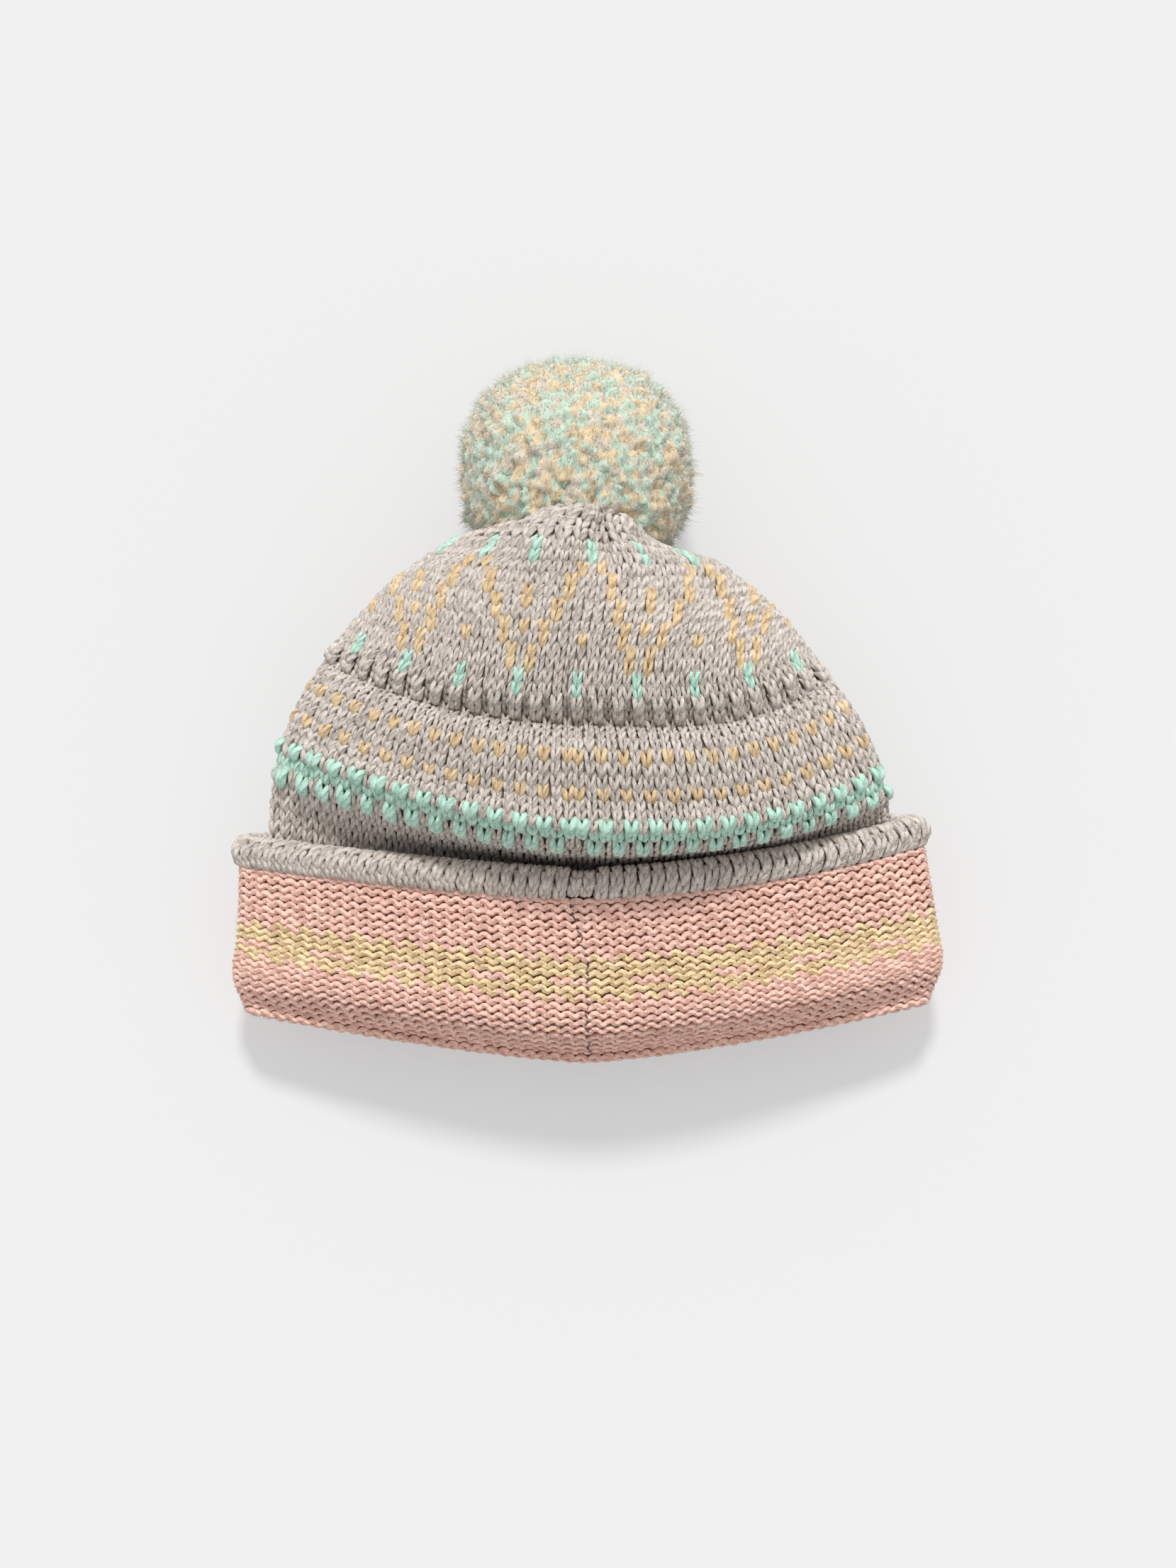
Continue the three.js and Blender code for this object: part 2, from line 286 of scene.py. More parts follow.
def cuff_points(row, angle):
    """The cuff's outer face in knitted rows from the hem up. Below row 0 the face turns round
    the fold in a half circle and runs up inside. The back is fuller low down, by an S curve up
    and another down, times the cosine of the angle."""
    row, angle = np.broadcast_arrays(row, angle)
    at = np.clip(row / CUFF_ROWS, 0, 1)
    turn = np.clip(-row / FOLD_ROWS, 0, 1) * np.pi
    inside = np.clip(-row - FOLD_ROWS, 0, None) * ROW_HEIGHT
    inset = YARN_INSET + (FOLD_RADIUS - YARN_INSET) * (1 - np.cos(turn))
    points = section_points(loops_at(CUFF_SECTIONS, at), angle, inset)
    points[..., 1] += inside - FOLD_RADIUS * np.sin(turn) + YARN_INSET
    fuller = smooth_step(0.0, 0.18, at) * (1 - smooth_step(0.2, 0.7, at))
    points[..., 2] += LOW_BACK_SWELL * fuller * np.maximum(0, np.cos(angle))
    return points - CENTRE


print("cuff at rows 0, 10 and 20, mm across:", widths(cuff_points, [0, 10, 20]))

# %% The rolled edge's face
ROLL_COURSES = 6
ROLL_RADIUS, ROLL_PRESSED, ROLL_INSET = 5.7, 3.6, 3.8


def roll_points(course, angle):
    """The rolled edge: a circle swept round the hat, pressed low where the hat lies on it.
    Courses run round the circle, from the inner side under it to the outer side and over."""
    course, angle = np.broadcast_arrays(course, angle)
    turn = 2 * np.pi * course / ROLL_COURSES - np.pi
    under = np.sqrt(np.maximum(0, -np.cos(angle)))
    thick = ROLL_RADIUS + (ROLL_PRESSED - ROLL_RADIUS) * under - YARN_INSET
    middle = ROLL_INSET + (ROLL_PRESSED - ROLL_INSET) * under
    section = np.broadcast_to(ROLL_SECTION[1:], angle.shape + (LOOP_VALUES,))
    points = section_points(section, angle, middle - thick * np.cos(turn))
    points[..., 1] += (ROLL_RADIUS - YARN_INSET) * np.sin(turn)
    points[..., 2] = np.maximum(points[..., 2], 0)
    return points - CENTRE


print("roll at its inner and outer side, mm across:", widths(roll_points, [0, ROLL_COURSES / 2]))

# %% [markdown]
# ## From angles to stitches
#
# Knitted columns are all about equally wide. At equal angles they would crowd together at the
# side creases, so they are spaced evenly along the fabric. A fabric here is a fine grid of
# points and normals with one axis in courses and the other in columns, and a stitch is placed
# by looking the grid up, which is much quicker than working out the surface for each.

# %% Fabric grids
COLUMNS = 108
PER_STITCH = 4
FINE_STEPS = 1440
# course, columns by which the back seam has wandered to the right
SEAM_DRIFT = np.array([
    (0, -0.2), (9, -0.6), (15, -0.4), (19, -0.35), (22, 0.0), (26, 0.6), (29, 1.2), (36, 1.4)])
# course, columns that lie on the back; higher up, the gathers hide some
BACK_COLUMNS = np.array([(-15, 54), (19, 54), (22, 49), (25, 42), (28, 36), (31, 33), (36, 31)])


def fabric(surface, first, last, drift=None, back=None, level=0.0):
    """Grid of a surface between two courses. The back of a loop holds its share of the
    columns and the front holds the rest, both spaced evenly by the length along the loop. A
    level above 0 counts only that much less of the length that doesn't run across the hat,
    so the stitches on the side folds stretch."""
    courses = np.arange(first * PER_STITCH, last * PER_STITCH + 1) / PER_STITCH
    columns = np.arange(COLUMNS * PER_STITCH + 1) / PER_STITCH - COLUMNS / 4
    shift = np.zeros(len(courses)) if drift is None else read_off(drift, courses)
    share = np.full(len(courses), COLUMNS / 2) if back is None else read_off(back, courses)
    fine = np.linspace(-np.pi / 2, 3 * np.pi / 2, FINE_STEPS + 1)
    dense = surface(courses[:, None], fine[None, :])
    steps = np.diff(dense, axis=1, prepend=dense[:, :1])
    counted = (1 - level) * np.linalg.norm(steps, axis=2) + level * np.abs(steps[..., 0])
    length = np.cumsum(counted, axis=1)
    angles = np.empty((len(courses), len(columns)))
    halves = zip(share, length[:, FINE_STEPS // 2], length[:, -1])
    for i, (on_back, middle, whole) in enumerate(halves):
        place = (columns + shift[i] + on_back / 2) % COLUMNS
        behind = middle + (place - on_back) / (COLUMNS - on_back) * (whole - middle)
        angles[i] = np.interp(np.where(place < on_back, place / on_back * middle, behind), length[i], fine)
    points = surface(courses[:, None], angles)
    across = np.roll(points[:, :-1], -1, axis=1) - np.roll(points[:, :-1], 1, axis=1)
    across = np.concatenate([across, across[:, :1]], axis=1)
    normals = np.cross(across, np.gradient(points, axis=0))
    normals /= np.linalg.norm(normals, axis=2, keepdims=True) + 1e-9
    pitch = np.linalg.norm(across, axis=2) * PER_STITCH / 2
    return {"first": first, "points": points, "normals": normals, "pitch": pitch}


def look_up(grid, course, column):
    """Point, normal and local column width of a fabric at arrays of places, by blending the
    four grid points round each place."""
    r = np.clip((course - grid["first"]) * PER_STITCH, 0, grid["points"].shape[0] - 1.001)
    c = ((column + COLUMNS / 4) * PER_STITCH) % (COLUMNS * PER_STITCH)
    i, j = r.astype(int), c.astype(int)
    u, v = r - i, c - j

    def blend(values):
        """The four neighbours' values, each times the share of the cell on its far side."""
        weight = (lambda a: a[..., None]) if values.ndim == 3 else (lambda a: a)
        low = values[i, j] * weight(1 - v) + values[i, j + 1] * weight(v)
        high = values[i + 1, j] * weight(1 - v) + values[i + 1, j + 1] * weight(v)
        return low * weight(1 - u) + high * weight(u)

    normal = blend(grid["normals"])
    normal /= np.linalg.norm(normal, axis=-1, keepdims=True) + 1e-9
    return blend(grid["points"]), normal, blend(grid["pitch"])


SIDE_STRETCH = 0.55
LAST_ROW = 20
crown = fabric(crown_points, HEM, TIP_COURSE, SEAM_DRIFT, BACK_COLUMNS, level=SIDE_STRETCH)
cuff = fabric(cuff_points, -LIP_ROWS, LAST_ROW)
roll = fabric(roll_points, 0, ROLL_COURSES)
print("crown grid", crown["points"].shape)
print("mean column width, mm:", [round(float(grid["pitch"].mean()), 2) for grid in (crown, cuff, roll)])

# %% [markdown]
# ## Yarn
#
# A piece of yarn is a circle carried along a path. Thousands are made at once as one array of
# shape (strands, rings, sides), and the faces follow from the numbering alone. Each strand
# keeps a random value for its shade, and a UV map that runs along and round it for the twist.
# Curve objects with a bevel would look the same, but are slow by the thousand.

# %% Arrays into a mesh


def make_mesh(name, points, polygons, uvs=None, **attributes):
    """A mesh from an array of points in millimetres and a list of face arrays, each (n, k)."""
    mesh = bpy.data.meshes.new(name)
    sizes = np.concatenate([np.full(len(p), p.shape[1]) for p in polygons])
    corners = np.concatenate([p.ravel() for p in polygons]).astype(np.int32)
    mesh.vertices.add(len(points))
    mesh.vertices.foreach_set("co", (points * MM).astype(np.float32).ravel())
    mesh.loops.add(len(corners))
    mesh.loops.foreach_set("vertex_index", corners)
    mesh.polygons.add(len(sizes))
    starts = np.concatenate([[0], np.cumsum(sizes)[:-1]])
    mesh.polygons.foreach_set("loop_start", starts.astype(np.int32))
    mesh.polygons.foreach_set("use_smooth", np.ones(len(sizes), dtype=bool))
    if uvs is not None:
        layer = mesh.uv_layers.new(name="yarn")
        layer.data.foreach_set("uv", uvs.astype(np.float32).ravel())
    for key, values in attributes.items():
        layer = mesh.attributes.new(key, "FLOAT", "POINT")
        layer.data.foreach_set("value", values.astype(np.float32))
    mesh.update(calc_edges=True)
    mesh.validate()
    piece = bpy.data.objects.new(name, mesh)
    bpy.context.scene.collection.objects.link(piece)
    return piece


# %% Strands as one mesh
PRESSED = 0.7


def pressed_flat(points):
    """Yarn below the height PRESSED is flattened towards the table, by an exponential that
    never gets to 0."""
    low = points[..., 2] < PRESSED
    flat = PRESSED * np.exp(np.minimum(0, points[..., 2] / PRESSED - 1))
    points[..., 2] = np.where(low, flat, points[..., 2])
    return points


def yarn_uvs(paths, sides):
    """UVs of tubes: u is the length along the strand from a random start, v the share of the
    way round it."""
    count, rings = paths.shape[:2]
    steps = np.linalg.norm(np.diff(paths, axis=1, prepend=paths[:, :1]), axis=2)
    along = np.cumsum(steps, axis=1) + rng.uniform(0, 10, (count, 1))
    around = np.arange(sides + 1) / sides
    u = np.broadcast_to(along[:, :, None], (count, rings, sides + 1))
    v = np.broadcast_to(around[None, None, :], (count, rings, sides + 1))
    uv = np.stack([u, v], axis=-1)
    quads = np.stack([uv[:, :-1, :-1], uv[:, :-1, 1:], uv[:, 1:, 1:], uv[:, 1:, :-1]], axis=3)
    caps = np.concatenate([uv[:, 0, :-1][:, ::-1], uv[:, -1, :-1]])
    return np.concatenate([quads.reshape(-1, 2), caps.reshape(-1, 2)])


def strands(name, paths, normals, radii, sides=5, flatten=0.85):
    """Tubes along paths of shape (strands, rings, 3). A ring is an ellipse whose axes are the
    direction across the path and the one out of the fabric; the ends are closed."""
    count, rings = paths.shape[:2]
    tangent = np.gradient(paths, axis=1)
    tangent /= np.linalg.norm(tangent, axis=2, keepdims=True) + 1e-9
    across = np.cross(tangent, normals)
    across /= np.linalg.norm(across, axis=2, keepdims=True) + 1e-9
    lift = np.cross(across, tangent)
    phi = 2 * np.pi * np.arange(sides) / sides
    ring = (np.cos(phi)[None, None, :, None] * across[:, :, None, :]
            + flatten * np.sin(phi)[None, None, :, None] * lift[:, :, None, :])
    points = pressed_flat(paths[:, :, None, :] + radii[:, :, None, None] * ring)
    index = np.arange(count * rings * sides).reshape(count, rings, sides)
    nxt = np.roll(index, -1, axis=2)
    quads = np.stack([index[:, :-1], nxt[:, :-1], nxt[:, 1:], index[:, 1:]], axis=-1).reshape(-1, 4)
    caps = np.concatenate([index[:, 0, ::-1], index[:, -1]])
    uvs = yarn_uvs(paths, sides)
    shade = np.repeat(rng.uniform(0, 1, count), rings * sides)
    piece = make_mesh(name, points.reshape(-1, 3), [quads, caps], uvs, shade=shade)
    triangles = len(quads) * 2 + len(caps) * (sides - 2)
    print(f"{name}: {count} strands, {triangles} triangles")
    return piece


# %% [markdown]
# ## The crown's stitches
#
# Seen from the right side, a knit stitch is a V: two legs that rise out of the stitch below,
# swell, spread and dive behind the stitch above. A whole loop of yarn would hide most of
# itself, so only the legs are made, with six rings each on the back and four on the front.
# The pattern is a rule for each course, mirrored about the back seam, as a knitter's chart is.

# %% Chart of the fair-isle pattern
TAUPE, MINT, GOLD = 0, 1, 2


def crown_chart(course, column):
    """Yarn of each stitch. In the band, steps count from the seam on both sides, so the seam
    has two alike. In the zigzag, apart is the distance to the nearest foot, and the feet are
    12 columns apart with the seam half way between two of them."""
    steps = np.where(column >= 0, column, -1 - column)
    even = steps % 2 == 0
    apart = np.abs((np.abs(column) % 12) - 6)
    yarn = np.zeros(np.shape(course), dtype=int)
    yarn[(course == 3) & ~even] = MINT
    yarn[course == 4] = MINT
    yarn[(course == 5) & even] = MINT
    yarn[((course == 8) | (course == 11)) & even] = GOLD
    yarn[((course == 18) | (course == 19)) & ((apart == 0) | (apart == 6))] = MINT
    yarn[(course >= 20) & (course <= 28) & (apart == (course - 18) // 2)] = GOLD
    yarn[((course == 23) | (course == 25) | (course == 26)) & (apart == 0)] = GOLD
    yarn[(course == 22) & (apart == 6)] = GOLD
    yarn[((course == 29) | (course == 30)) & ((apart == 0) | (apart == 6))] = MINT
    return yarn


one_repeat = crown_chart(*np.meshgrid(np.arange(32), np.arange(12), indexing="ij"))
print("in 12 columns: mint stitches", np.sum(one_repeat == MINT), "gold", np.sum(one_repeat == GOLD))

# %% One V stitch
WIDEST_COLUMN = 4.5
LENGTH_WOBBLE, SIDE_WOBBLE, HEIGHT_WOBBLE = 0.09, 0.04, 0.07


def leg_profile(rings):
    """A leg from its root to its tip, in columns and courses: it leans out at a steady rate,
    arches out of the fabric and back like half a wave, and is thickest in its middle."""
    t = np.linspace(0, 1, rings)
    across = 0.07 + 0.33 * t
    up = t - 0.45
    lift = -0.12 + 0.32 * np.sin(np.pi * t) ** 0.7
    radius = 0.25 * np.sin(np.pi * (0.14 + 0.74 * t)) ** 0.65
    return across, up, lift, radius


def v_legs(grid, course, column, plump, raised, span=1, rings=6, length=1.5, spread=1.0):
    """Paths, normals and radii of both legs of stitches whose foot is at course and column. A
    stitch that spans several columns stands in the middle of them. The legs are one profile
    and its mirror image, each a little off in length and place, scaled by the column's width."""
    across, up, lift, radius = leg_profile(rings)
    side = np.array([-1.0, 1.0])[None, :, None]
    count = len(course)
    each = (count, 2, 1)
    length = np.broadcast_to(length, count)[:, None, None] + rng.normal(0, LENGTH_WOBBLE, each)
    spread = np.broadcast_to(spread, count)[:, None, None] * span
    middle = (column + span / 2)[:, None, None]
    place = across * side * spread + rng.normal(0, SIDE_WOBBLE, each) + middle
    height = up * length + rng.normal(0, HEIGHT_WOBBLE, each) + course[:, None, None]
    shape = (count * 2, rings)
    points, normals, pitch = look_up(grid, height.reshape(shape), place.reshape(shape))
    width = np.minimum(pitch * span, WIDEST_COLUMN) * np.repeat(plump, 2)[:, None]
    rise = lift * width + np.repeat(raised, 2)[:, None]
    return points + normals * rise[..., None], normals, radius * width


print("a leg's radii, in columns:", leg_profile(6)[3].round(3).tolist())

# %% Where stitches stand out
SEAM_DEPTH, SEAM_WIDTH = 0.9, 0.75
RIB_COURSE, RIB_HALF_HEIGHT = 16.5, 0.8


def seam_valley(column):
    """The join of the back seam lies low: a bell curve one column wide."""
    return -SEAM_DEPTH * bell(column, -0.5, SEAM_WIDTH)


def ribbed(course, column):
    """How much a stitch belongs to the ribbed courses above the groove: 1 for the columns
    that stand up there, -1 for those that sink between them, faded out by a steep bell."""
    return np.where(column % 2 == 0, 1.0, -1.0) * bell(course, RIB_COURSE, RIB_HALF_HEIGHT, 4)


def tufted(course, column):
    """How much a stitch stands out in the three mint courses: 1 for the mint tufts of the outer
    two, -1 for the middle one, which they hide."""
    tuft = ((course == 3) | (course == 5)) & (crown_chart(course, column) == MINT)
    return np.where(tuft, 1.0, np.where(course == 4, -1.0, 0.0))


print("rib by course:", {k: float(ribbed(k, 0).round(2)) for k in range(15, 19)})

# %% Every stitch of the crown
# Behind the roll the lowest courses only show towards the sides, so the rest are left out.
GATHER = 31
LOWEST_SHOWN, HIDDEN_HALF = -4, 16
AROUND = np.arange(-COLUMNS // 2, COLUMNS // 2)
courses, columns = np.meshgrid(np.arange(FIRST_COURSE, GATHER), AROUND, indexing="ij")
courses, columns = courses.ravel(), columns.ravel()
from_seam = np.abs(columns + 0.5)
seen = (courses >= LOWEST_SHOWN) | (from_seam > HIDDEN_HALF)
courses, columns, from_seam = courses[seen], columns[seen], from_seam[seen]
yarns = crown_chart(courses, columns)
on_top = from_seam < read_off(BACK_COLUMNS, courses) / 2 + 2
print("crown stitches:", len(yarns), "of which on the back:", int(on_top.sum()))

# %% How each stitch is drawn
# rise and sink in millimetres; the rest as shares of a plain stitch
RIB_RISE, RIB_SINK, RIB_SWELL, RIB_SPREAD = 0.9, 1.0, 0.42, 0.08
TUFT_RISE, TUFT_SINK, TUFT_SWELL, TUFT_SHORTER = 0.7, 0.9, 0.30, 0.25
UPPER_TUFT_SPREAD, LOWER_TUFT_SPREAD = 0.12, -0.1
DYED_RISE, DYED_SWELL = 0.15, 0.12
GATHERS_SWELL, SWELL_SPREAD = 0.22, 0.06
STITCH_LENGTH = 1.65
rib = ribbed(courses, columns)
tuft = tufted(courses, columns)
dyed_yarn = yarns != TAUPE
raised = seam_valley(columns) + np.where(rib > 0, RIB_RISE, RIB_SINK) * rib
raised += np.where(tuft > 0, TUFT_RISE, TUFT_SINK) * tuft + np.where(dyed_yarn, DYED_RISE, 0)
plump = 1.0 + RIB_SWELL * np.maximum(rib, 0) + np.where(tuft > 0, TUFT_SWELL, 0) + DYED_SWELL * dyed_yarn
plump += GATHERS_SWELL * smooth_step(20, 27, courses) + SWELL_SPREAD * rng.standard_normal(len(yarns))
length = STITCH_LENGTH - np.where(tuft > 0, TUFT_SHORTER, 0)
tuft_spread = np.where(courses == 5, UPPER_TUFT_SPREAD, LOWER_TUFT_SPREAD)
spread = 1.0 + np.where(tuft > 0, tuft_spread, 0) + RIB_SPREAD * np.maximum(rib, 0)
print("highest stitch stands out by", round(float(raised.max()), 2), "mm")

# %% Lay the V stitches
for label, chosen, sides, rings in (
    ("crown_taupe_back", (yarns == TAUPE) & on_top, 5, 6),
    ("crown_taupe_front", (yarns == TAUPE) & ~on_top, 4, 4),
    ("crown_mint", yarns == MINT, 5, 6),
    ("crown_gold", yarns == GOLD, 5, 6),
):
    legs = v_legs(crown, courses[chosen], columns[chosen], plump[chosen], raised[chosen],
                  rings=rings, length=length[chosen], spread=spread[chosen])
    strands(label, *legs, sides=sides)

# %% Gather the tip
# Near the tip two columns run into one, and then two into one again.
TIGHTER = 34
TIP_SWELL = 1.22
parts = []
for first, beyond, span in ((GATHER, TIGHTER, 2), (TIGHTER, TIP_COURSE + 1, 4)):
    tip_courses, tip_columns = np.meshgrid(np.arange(first, beyond), AROUND[::span], indexing="ij")
    swell = np.full(tip_courses.size, TIP_SWELL)
    parts.append(v_legs(crown, tip_courses.ravel(), tip_columns.ravel(), swell, np.zeros(swell.size), span))
strands("crown_tip", *(np.concatenate(arrays) for arrays in zip(*parts)))

# %% [markdown]
# ## The cuff
#
# The cuff is turned up, so it shows the fabric's wrong side. There a row is a wave of yarn of
# which only the crests show: the heads of the stitches arch up, and the loops between them
# sag down, half a column along. A relief on a smooth band would do from far off, but the rows
# also show at the outline and at the hem, so each crest is a short arc of yarn.

# %% One purl bump


def arc_profile(rings):
    """An arc of yarn over its middle, in columns: a flat parabola whose ends dive under the
    next row, thick in its middle and thin at its ends."""
    t = np.linspace(-1, 1, rings)
    across = 0.47 * t
    rise = 0.26 - 0.66 * t**2
    lift = 0.17 - 0.36 * t**4
    radius = 0.26 * (1 - 0.62 * t**4)
    return across, rise, lift, radius


BUMP_LEAN = 0.16
BUMP_WOBBLE, ROW_WOBBLE, SWELL_WOBBLE = 0.03, 0.04, 0.05


def purl_bumps(grid, row, column, arch, rings=6):
    """Paths, normals and radii of arcs across the column: arch is 1 for a head that arches up
    and -1 for a loop that sags. An arc leans up to the right by a sixth of its length."""
    count = len(row)
    along, rise, lift, radius = arc_profile(rings)
    across = column[:, None] + along + rng.normal(0, BUMP_WOBBLE, (count, 1))
    up = row[:, None] + arch[:, None] * rise + BUMP_LEAN * along
    up = up + rng.normal(0, ROW_WOBBLE, (count, 1))
    points, normals, pitch = look_up(grid, up, across)
    width = np.minimum(pitch, WIDEST_COLUMN)
    plump = 1 + SWELL_WOBBLE * rng.standard_normal((count, 1))
    return points + normals * (lift * width)[..., None], normals, radius * width * plump


print("an arc's radii, in columns:", arc_profile(6)[3].round(3).tolist())

# %% Lay the purl bumps
BACK_BUMPS = 29


def cuff_chart(row, column):
    """True for gold. Three rows of the stripe are all gold, one shows gold and pink by threes,
    and the rows at its two edges alternate."""
    gold = (row == 9) | (row == 11) | (row == 12)
    edge = ((row == 8) | (row == 13)) & (column % 2 == 0)
    floats = (row == 10) & ((column // 3) % 2 == 0)
    return gold | edge | floats


rows, places = np.meshgrid(np.arange(-LIP_ROWS, LAST_ROW + 1), AROUND, indexing="ij")
rows, places = rows.ravel(), places.ravel()
heads = np.stack([rows + 0.0, places + 0.5, np.ones(len(rows))])
sags = np.stack([rows + 0.02, places + 1.0, -np.ones(len(rows))])
bumps = np.concatenate([heads, sags], axis=1)
bump_gold = np.tile(cuff_chart(rows, places), 2)
bump_top = np.tile((places >= -BACK_BUMPS) & (places < BACK_BUMPS), 2)
print("purl bumps:", bumps.shape[1], "of which gold:", int(bump_gold.sum()))
for label, chosen, sides, rings in (
    ("cuff_pink_back", ~bump_gold & bump_top, 5, 6),
    ("cuff_pink_front", ~bump_gold & ~bump_top, 4, 4),
    ("cuff_gold", bump_gold, 5, 5),
):
    arcs = purl_bumps(cuff, bumps[0, chosen], bumps[1, chosen], bumps[2, chosen], rings)
    strands(label, *arcs, sides=sides, flatten=0.9)

# %% [markdown]
# A dark thread closes the cuff's back seam. It wanders a little, and dips in and out of the
# rows. One long tube would lie on the rows like a wire, so it is a line of short stitches along
# a winding path, each slanting the other way from the last.

# %% Sew the cuff's seam
# row, columns to the right of the middle
SEAM_PATH = np.array([
    (0, 0.1), (5, -0.15), (10, -0.05), (13, 0.0), (15, -0.3), (18, -0.75), (20.4, -1.1)])
SEAM_STEP, SEAM_STITCH = 0.85, 0.92
SEAM_SLANT = 0.13
THREAD_RADIUS, THREAD_LIFT, THREAD_DIVE = 0.33, 1.45, 1.2
seam_rows = np.arange(0, SEAM_PATH[-1, 0], SEAM_STEP)
t = np.linspace(-0.5, 0.5, 5)
stitch_rows = seam_rows[:, None] + SEAM_STITCH * t
slants = np.where(np.arange(len(seam_rows)) % 2 == 0, SEAM_SLANT, -SEAM_SLANT)[:, None]
stitch_columns = read_off(SEAM_PATH, stitch_rows) + slants * np.sin(np.pi * t)
seam_points, seam_normals, _ = look_up(cuff, stitch_rows, stitch_columns)
seam_lift = THREAD_LIFT - THREAD_DIVE * (2 * t) ** 4
strands("cuff_seam", seam_points + seam_normals * seam_lift[None, :, None], seam_normals,
        np.full(stitch_rows.shape, THREAD_RADIUS))

# %% [markdown]
# ## The rolled edge
#
# Plain knit curls up on its own at a free edge, so the edge of the cuff is a soft roll with
# its columns of V stitches wrapped round it. The same V stitches do here, longer and closer
# together, and towards the left they slant, as the roll is a little twisted there.

# %% Lay the roll's stitches
ROLL_SLANT, ROLL_SWELL = 0.28, 1.12
ROLL_STITCH_LENGTH, ROLL_STITCH_SPREAD = 1.9, 0.82
NOTCH_DEPTH, NOTCH_WIDTH = 1.8, 0.8
turns, posts = np.meshgrid(np.arange(0.0, ROLL_COURSES), AROUND, indexing="ij")
turns, posts = turns.ravel(), posts.ravel()
slant = ROLL_SLANT * np.clip(0.5 - posts / 40, 0, 1) * (turns - ROLL_COURSES / 2)
notch = -NOTCH_DEPTH * bell(posts, -0.5, NOTCH_WIDTH)
strands("roll_stitches", *v_legs(
    roll, turns, posts + slant, np.full(len(turns), ROLL_SWELL), notch,
    length=ROLL_STITCH_LENGTH, spread=ROLL_STITCH_SPREAD))

# %% [markdown]
# ## What lies behind the stitches
#
# Between the legs of real knit the eye meets the back of the same yarn. Thicker legs would
# close those gaps too, but would hide the Vs. A closed wall just under the stitches does the
# job here, and shuts the light out of the hat. Its yarn is a deeper tone than the stitches',
# which is painted shade for the gaps and for the inside.

# %% A closed wall
GROUND_SHADE = 0.4


def wall_mesh(name, loops, start=None, end=None, **attributes):
    """A closed skin over loops of equal length. Poles shut the ends; without them the last
    loop joins the first. Attributes hold a value for each point, the poles last."""
    loop_count, count = loops.shape[:2]
    index = np.arange(loop_count * count).reshape(loop_count, count)
    if start is None:
        index = np.vstack([index, index[:1]])
    nxt = np.roll(index, -1, axis=1)
    quads = np.stack([index[:-1], nxt[:-1], nxt[1:], index[1:]], axis=-1).reshape(-1, 4)
    points = loops.reshape(-1, 3)
    polygons = [quads]
    if start is not None:
        first, last = len(points), len(points) + 1
        points = np.vstack([points, start, end])
        start_fan = np.stack([np.full(count, first), nxt[0], index[0]], axis=-1)
        end_fan = np.stack([np.full(count, last), index[-1], nxt[-1]], axis=-1)
        polygons += [np.concatenate([start_fan, end_fan])]
    shade = np.full(len(points), GROUND_SHADE)
    piece = make_mesh(name, points, polygons, shade=shade, **attributes)
    print(f"{name}: {len(points)} points")
    return piece


def sunk(grid, places, depth):
    """Loops of a fabric at whole columns, sunk below its face by a depth for each loop."""
    course, column = np.meshgrid(places, np.arange(COLUMNS) - COLUMNS / 4, indexing="ij")
    points, normals, _ = look_up(grid, course, column)
    return points - normals * np.broadcast_to(depth, (len(places),))[:, None, None]


print("loops of the cuff's wall:", sunk(cuff, np.arange(0, LAST_ROW), WALL).shape)

# %% The three walls
CROWN_TIP = np.array([-1.6, 59.0, 45.5]) - CENTRE
UNDER_TIP = np.array([0, 0.8, 0])
INSIDE_TIP = np.array([0, 6.0, 0])
# course, depth of the wall under the crown's face
CROWN_GROUND = np.array([(18, 0.5), (27, 0.05)])
CUFF_GROUND, ROLL_GROUND = 0.4, 0.8
CUFF_WALL = 2.8
outer = np.concatenate([np.arange(HEM, 30, 1.0), np.arange(30, TIP_COURSE + 0.1, 0.5)])
inner = np.arange(HEM, 32, 1.0)[::-1]
crown_loops = [sunk(crown, inner, WALL), sunk(crown, outer, read_off(CROWN_GROUND, outer))]
wall_mesh("crown_ground", np.concatenate(crown_loops), CROWN_TIP - INSIDE_TIP, CROWN_TIP - UNDER_TIP)
cuff_outside = sunk(cuff, np.arange(-LIP_ROWS, LAST_ROW + 0.1, 1.0), CUFF_GROUND)
cuff_inside = sunk(cuff, np.arange(LAST_ROW, -0.1, -2.0), CUFF_WALL)
wall_mesh("cuff_ground", np.concatenate([cuff_outside, cuff_inside]))
wall_mesh("roll_ground", sunk(roll, np.arange(0, ROLL_COURSES, 0.5), ROLL_GROUND))

# %% [markdown]
# ## The pompom
#
# A pompom is hundreds of yarn ends tied in the middle and clipped to a ball. The clipped ends
# fluff out and meet, so what shows is a skin of small round bumps, one to each end and each in
# its own dye, under a haze of loose fibres. Where the tip of the crown pushes in, the ends
# part round it.

# %% The ends, and room for the crown
POMPOM_MIDDLE = np.array([-4.0, 79.0, 31.6]) - CENTRE
POMPOM_RADII = np.array([37.0, 36.2, 31.6])
POMPOM_RADIUS = 36
ENDS = 3000
END_SHARES = {TAUPE: 0.32, MINT: 0.38, GOLD: 0.30}
GUARD_COURSE = 15


def batches(count, size):
    """Index arrays that share out a count, so that an array of all pairs stays small."""
    return np.array_split(np.arange(count), max(1, count // size))


